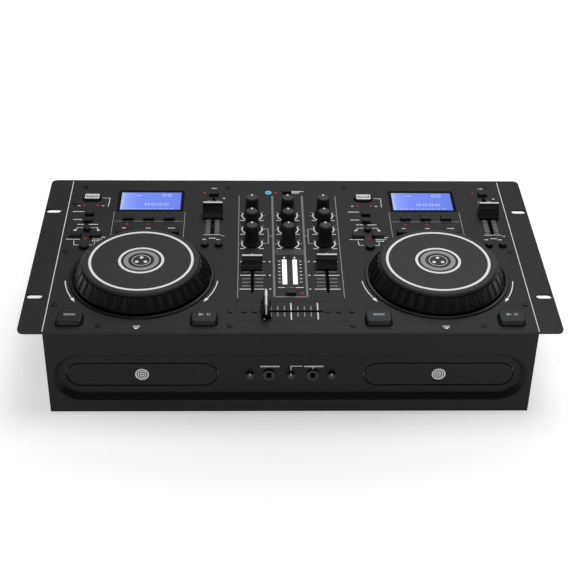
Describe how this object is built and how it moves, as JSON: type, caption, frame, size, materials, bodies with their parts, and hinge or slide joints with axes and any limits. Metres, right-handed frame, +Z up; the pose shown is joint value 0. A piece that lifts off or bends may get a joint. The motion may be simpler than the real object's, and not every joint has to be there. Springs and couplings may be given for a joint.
{
  "type": "dual disc player console",
  "caption": "Rack-mount DJ console with disc trays, scalloped jog wheels, displays and a mixer between the decks.",
  "frame": {"origin": "on the table, under the middle of the top panel", "axes": "+X to the right and +Z up, seen from the trays' side; +Y towards the back"},
  "size_m": [0.4826, 0.2604, 0.1166],
  "materials": {
    "black_steel": "satin black powder coat",
    "rubber": "matte",
    "black_screw": "blackened",
    "circuit_board": "solder mask",
    "nickel": "plated",
    "jack_plastic": "moulded",
    "moulded_plastic": "fine texture",
    "meter_window": "smoked",
    "red_led": "tinted",
    "fader_cap": "moulded",
    "key_plastic": "moulded",
    "display_glass": "backlit",
    "mechanism": "moulded",
    "usb_shell": "moulded",
    "jog_rubber": "satin",
    "jog_plate": "satin",
    "tray_plastic": "moulded",
    "knob_rubber": "soft touch"
  },
  "bodies": {
    "root": {"bottom_pan": "black_steel", "front_panel": "black_steel", "top_panel": "black_steel", "crossfader_plate": "black_steel", "rubber_feet": "rubber", "case_screws": "black_screw", "control_board": "circuit_board", "power_supply": "circuit_board", "rear_jacks": "nickel", "front_jacks": "jack_plastic", "power_inlet": "moulded_plastic", "level_meter": "meter_window", "status_leds": "red_led", "display_left": "display_glass", "disc_mechanism_left": "mechanism", "jog_base_left": "moulded_plastic", "usb_port_left": "usb_shell", "display_right": "display_glass", "disc_mechanism_right": "mechanism", "jog_base_right": "moulded_plastic", "usb_port_right": "usb_shell"},
    "jog_left": {"jog_wheel_left": "jog_rubber", "jog_plate_left": "jog_plate"},
    "spindle_left": {"turntable_left": "mechanism"},
    "tray_left": {"disc_tray_left": "tray_plastic", "tray_door_left": "moulded_plastic"},
    "pitch_left": {"pitch_fader_left": "fader_cap"},
    "jog_right": {"jog_wheel_right": "jog_rubber", "jog_plate_right": "jog_plate"},
    "spindle_right": {"turntable_right": "mechanism"},
    "tray_right": {"disc_tray_right": "tray_plastic", "tray_door_right": "moulded_plastic"},
    "pitch_right": {"pitch_fader_right": "fader_cap"},
    "channel_left": {"channel_fader_left": "fader_cap"},
    "channel_right": {"channel_fader_right": "fader_cap"},
    "crossfader": {"crossfader_knob": "fader_cap"},
    "mix_left_1": {"knob_left_1": "knob_rubber"},
    "mix_left_2": {"knob_left_2": "knob_rubber"},
    "mix_left_3": {"knob_left_3": "knob_rubber"},
    "mix_centre_1": {"knob_centre_1": "knob_rubber"},
    "mix_centre_2": {"knob_centre_2": "knob_rubber"},
    "mix_centre_3": {"knob_centre_3": "knob_rubber"},
    "mix_right_1": {"knob_right_1": "knob_rubber"},
    "mix_right_2": {"knob_right_2": "knob_rubber"},
    "mix_right_3": {"knob_right_3": "knob_rubber"},
    "front_left": {"front_knob_left": "knob_rubber"},
    "front_centre": {"front_knob_centre": "knob_rubber"},
    "front_right": {"front_knob_right": "knob_rubber"},
    "cue_key_left_body": {"cue_key_left": "key_plastic"},
    "play_key_left_body": {"play_key_left": "key_plastic"},
    "cluster_keys_left_body": {"cluster_keys_left": "key_plastic"},
    "display_keys_left_body": {"display_keys_left": "key_plastic"},
    "pitch_keys_left_body": {"pitch_keys_left": "key_plastic"},
    "cue_key_right_body": {"cue_key_right": "key_plastic"},
    "play_key_right_body": {"play_key_right": "key_plastic"},
    "cluster_keys_right_body": {"cluster_keys_right": "key_plastic"},
    "display_keys_right_body": {"display_keys_right": "key_plastic"},
    "pitch_keys_right_body": {"pitch_keys_right": "key_plastic"},
    "mixer_keys_body": {"mixer_keys": "key_plastic"},
    "rocker": {"power_rocker": "moulded_plastic"}
  },
  "joints": [
    {"name": "jog_left_spin", "type": "hinge", "parent": "root", "child": "jog_left", "pos_m": [-0.1372, -0.0439, 0.1], "axis": [0, 0, 1], "continuous": true},
    {"name": "turntable_left_spin", "type": "hinge", "parent": "root", "child": "spindle_left", "pos_m": [-0.1343, -0.057, 0.035], "axis": [0, 0, 1], "continuous": true},
    {"name": "tray_left_slide", "type": "slide", "parent": "root", "child": "tray_left", "axis": [0, -1, 0], "range_m": [0, 0.132]},
    {"name": "pitch_left_slide", "type": "slide", "parent": "root", "child": "pitch_left", "axis": [0, 1, 0], "range_m": [-0.0316, 0.0284]},
    {"name": "jog_right_spin", "type": "hinge", "parent": "root", "child": "jog_right", "pos_m": [0.1372, -0.0439, 0.1], "axis": [0, 0, 1], "continuous": true},
    {"name": "turntable_right_spin", "type": "hinge", "parent": "root", "child": "spindle_right", "pos_m": [0.1343, -0.057, 0.035], "axis": [0, 0, 1], "continuous": true},
    {"name": "tray_right_slide", "type": "slide", "parent": "root", "child": "tray_right", "axis": [0, -1, 0], "range_m": [0, 0.132]},
    {"name": "pitch_right_slide", "type": "slide", "parent": "root", "child": "pitch_right", "axis": [0, 1, 0], "range_m": [-0.0316, 0.0284]},
    {"name": "channel_left_slide", "type": "slide", "parent": "root", "child": "channel_left", "axis": [0, 1, 0], "range_m": [-0.036, 0.009]},
    {"name": "channel_right_slide", "type": "slide", "parent": "root", "child": "channel_right", "axis": [0, 1, 0], "range_m": [-0.0377, 0.0073]},
    {"name": "crossfader_slide", "type": "slide", "parent": "root", "child": "crossfader", "axis": [1, 0, 0], "range_m": [0, 0.045]},
    {"name": "knob_left_1_turn", "type": "hinge", "parent": "root", "child": "mix_left_1", "pos_m": [-0.0352, 0.012, 0.1], "axis": [0, 0, 1], "range_deg": [-150, 150]},
    {"name": "knob_left_2_turn", "type": "hinge", "parent": "root", "child": "mix_left_2", "pos_m": [-0.0352, 0.0372, 0.1], "axis": [0, 0, 1], "range_deg": [-150, 150]},
    {"name": "knob_left_3_turn", "type": "hinge", "parent": "root", "child": "mix_left_3", "pos_m": [-0.0352, 0.0624, 0.1], "axis": [0, 0, 1], "range_deg": [-150, 150]},
    {"name": "knob_centre_1_turn", "type": "hinge", "parent": "root", "child": "mix_centre_1", "pos_m": [0, 0.012, 0.1], "axis": [0, 0, 1], "range_deg": [-150, 150]},
    {"name": "knob_centre_2_turn", "type": "hinge", "parent": "root", "child": "mix_centre_2", "pos_m": [0, 0.0372, 0.1], "axis": [0, 0, 1], "range_deg": [-150, 150]},
    {"name": "knob_centre_3_turn", "type": "hinge", "parent": "root", "child": "mix_centre_3", "pos_m": [0, 0.0624, 0.1], "axis": [0, 0, 1], "range_deg": [-150, 150]},
    {"name": "knob_right_1_turn", "type": "hinge", "parent": "root", "child": "mix_right_1", "pos_m": [0.0352, 0.012, 0.1], "axis": [0, 0, 1], "range_deg": [-150, 150]},
    {"name": "knob_right_2_turn", "type": "hinge", "parent": "root", "child": "mix_right_2", "pos_m": [0.0352, 0.0372, 0.1], "axis": [0, 0, 1], "range_deg": [-150, 150]},
    {"name": "knob_right_3_turn", "type": "hinge", "parent": "root", "child": "mix_right_3", "pos_m": [0.0352, 0.0624, 0.1], "axis": [0, 0, 1], "range_deg": [-150, 150]},
    {"name": "front_knob_left_turn", "type": "hinge", "parent": "root", "child": "front_left", "pos_m": [-0.0369, -0.1252, 0.0434], "axis": [0, -1, 0], "range_deg": [-150, 150]},
    {"name": "front_knob_centre_turn", "type": "hinge", "parent": "root", "child": "front_centre", "pos_m": [0, -0.1252, 0.0434], "axis": [0, -1, 0], "range_deg": [-150, 150]},
    {"name": "front_knob_right_turn", "type": "hinge", "parent": "root", "child": "front_right", "pos_m": [0.0369, -0.1252, 0.0434], "axis": [0, -1, 0], "range_deg": [-150, 150]},
    {"name": "cue_key_left_press", "type": "slide", "parent": "root", "child": "cue_key_left_body", "axis": [0, 0, -1], "range_m": [0, 0.0012], "stiffness_N_per_m": 500, "springref_m": -0.0005},
    {"name": "play_key_left_press", "type": "slide", "parent": "root", "child": "play_key_left_body", "axis": [0, 0, -1], "range_m": [0, 0.0012], "stiffness_N_per_m": 500, "springref_m": -0.0005},
    {"name": "cluster_keys_left_press", "type": "slide", "parent": "root", "child": "cluster_keys_left_body", "axis": [0, 0, -1], "range_m": [0, 0.0012], "stiffness_N_per_m": 500, "springref_m": -0.0005},
    {"name": "display_keys_left_press", "type": "slide", "parent": "root", "child": "display_keys_left_body", "axis": [0, 0, -1], "range_m": [0, 0.0012], "stiffness_N_per_m": 500, "springref_m": -0.0005},
    {"name": "pitch_keys_left_press", "type": "slide", "parent": "root", "child": "pitch_keys_left_body", "axis": [0, 0, -1], "range_m": [0, 0.0012], "stiffness_N_per_m": 500, "springref_m": -0.0005},
    {"name": "cue_key_right_press", "type": "slide", "parent": "root", "child": "cue_key_right_body", "axis": [0, 0, -1], "range_m": [0, 0.0012], "stiffness_N_per_m": 500, "springref_m": -0.0005},
    {"name": "play_key_right_press", "type": "slide", "parent": "root", "child": "play_key_right_body", "axis": [0, 0, -1], "range_m": [0, 0.0012], "stiffness_N_per_m": 500, "springref_m": -0.0005},
    {"name": "cluster_keys_right_press", "type": "slide", "parent": "root", "child": "cluster_keys_right_body", "axis": [0, 0, -1], "range_m": [0, 0.0012], "stiffness_N_per_m": 500, "springref_m": -0.0005},
    {"name": "display_keys_right_press", "type": "slide", "parent": "root", "child": "display_keys_right_body", "axis": [0, 0, -1], "range_m": [0, 0.0012], "stiffness_N_per_m": 500, "springref_m": -0.0005},
    {"name": "pitch_keys_right_press", "type": "slide", "parent": "root", "child": "pitch_keys_right_body", "axis": [0, 0, -1], "range_m": [0, 0.0012], "stiffness_N_per_m": 500, "springref_m": -0.0005},
    {"name": "mixer_keys_press", "type": "slide", "parent": "root", "child": "mixer_keys_body", "axis": [0, 0, -1], "range_m": [0, 0.0012], "stiffness_N_per_m": 500, "springref_m": -0.0005},
    {"name": "power_rocker_tilt", "type": "hinge", "parent": "root", "child": "rocker", "pos_m": [0.183, 0.1178, 0.05], "axis": [1, 0, 0], "range_deg": [-16, 0]}
  ]
}
